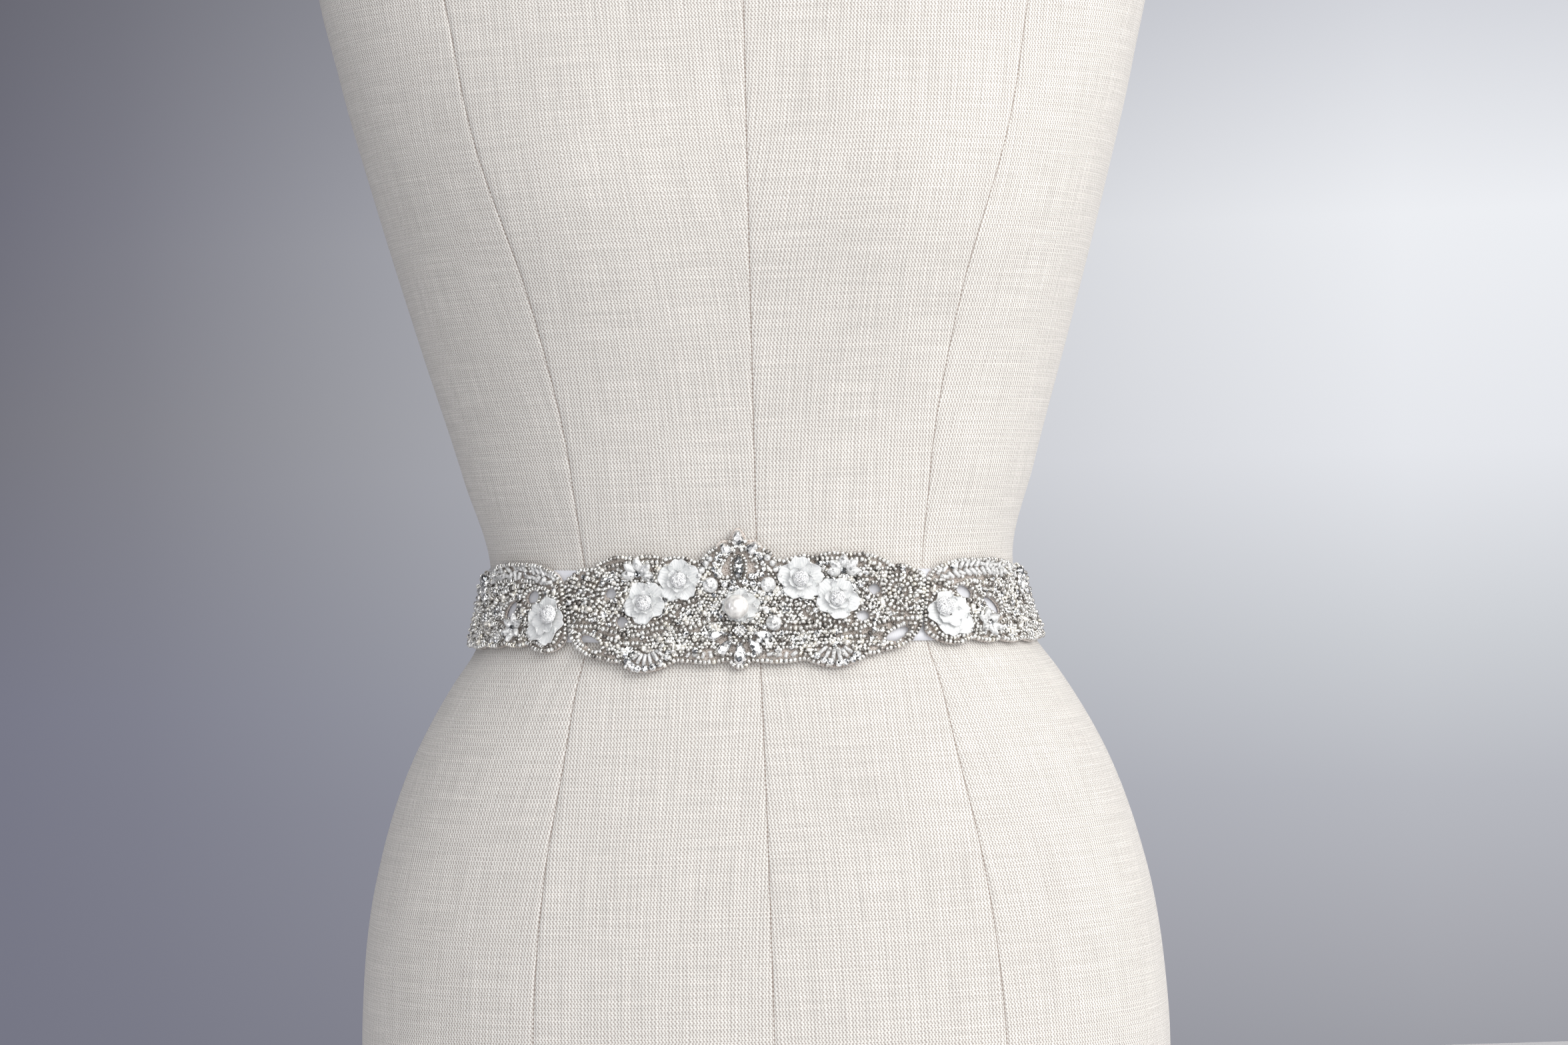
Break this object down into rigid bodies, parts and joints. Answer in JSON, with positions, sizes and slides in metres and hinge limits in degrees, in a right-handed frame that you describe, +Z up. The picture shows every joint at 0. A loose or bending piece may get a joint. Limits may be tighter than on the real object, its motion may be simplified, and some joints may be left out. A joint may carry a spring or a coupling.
{
  "type": "bridal sash on a dress form",
  "caption": "Beaded bridal sash with cloth flowers, crystals and a pearl on a satin ribbon, worn round the waist of a limbless linen dress form.",
  "frame": {"origin": "centre of the form's flat foot, where it stands", "axes": "+Z up along the form, front of the sash towards -Y, +X to the right as seen from the front"},
  "size_m": [0.3898, 0.2392, 0.74],
  "materials": {
    "linen": "natural woven linen",
    "white_satin": "satin ribbon",
    "silver_beads": "silver-lined glass seed beads and foiled cut stones",
    "white_organza": "layered organza petals",
    "clear_crystal": "clear cut crystal",
    "pearl": "pearl lustre"
  },
  "bodies": {
    "root": {"centre_pearl": "pearl", "clear_bead": "clear_crystal", "clear_disc_left": "clear_crystal", "clear_disc_right": "clear_crystal", "cloth_flower_1_left": "white_organza", "cloth_flower_1_right": "white_organza", "cloth_flower_2_left": "white_organza", "cloth_flower_2_right": "white_organza", "cloth_flower_side_left": "white_organza", "cloth_flower_side_right": "white_organza", "crown_marquise": "silver_beads", "crown_stone_left": "silver_beads", "crown_stone_right": "silver_beads", "crown_tip_stone": "silver_beads", "crystal_flower_front_left": "clear_crystal", "crystal_flower_front_right": "clear_crystal", "crystal_flower_side_left": "clear_crystal", "crystal_flower_side_right": "clear_crystal", "drop_bottom": "silver_beads", "drop_lower_left": "silver_beads", "drop_lower_right": "silver_beads", "drop_upper_left": "silver_beads", "drop_upper_right": "silver_beads", "flower_ball_1_left": "silver_beads", "flower_ball_1_right": "silver_beads", "flower_ball_2_left": "silver_beads", "flower_ball_2_right": "silver_beads", "flower_ball_side_left": "silver_beads", "flower_ball_side_right": "silver_beads", "form_torso": "linen", "front_applique": "silver_beads", "pave_stone": "silver_beads", "pearl_petals": "white_organza", "satin_ribbon": "white_satin", "side_applique_left": "silver_beads", "side_applique_right": "silver_beads", "side_bead_left": "clear_crystal", "side_bead_right": "clear_crystal", "side_stone_left": "silver_beads", "side_stone_right": "silver_beads"}
  },
  "joints": []
}
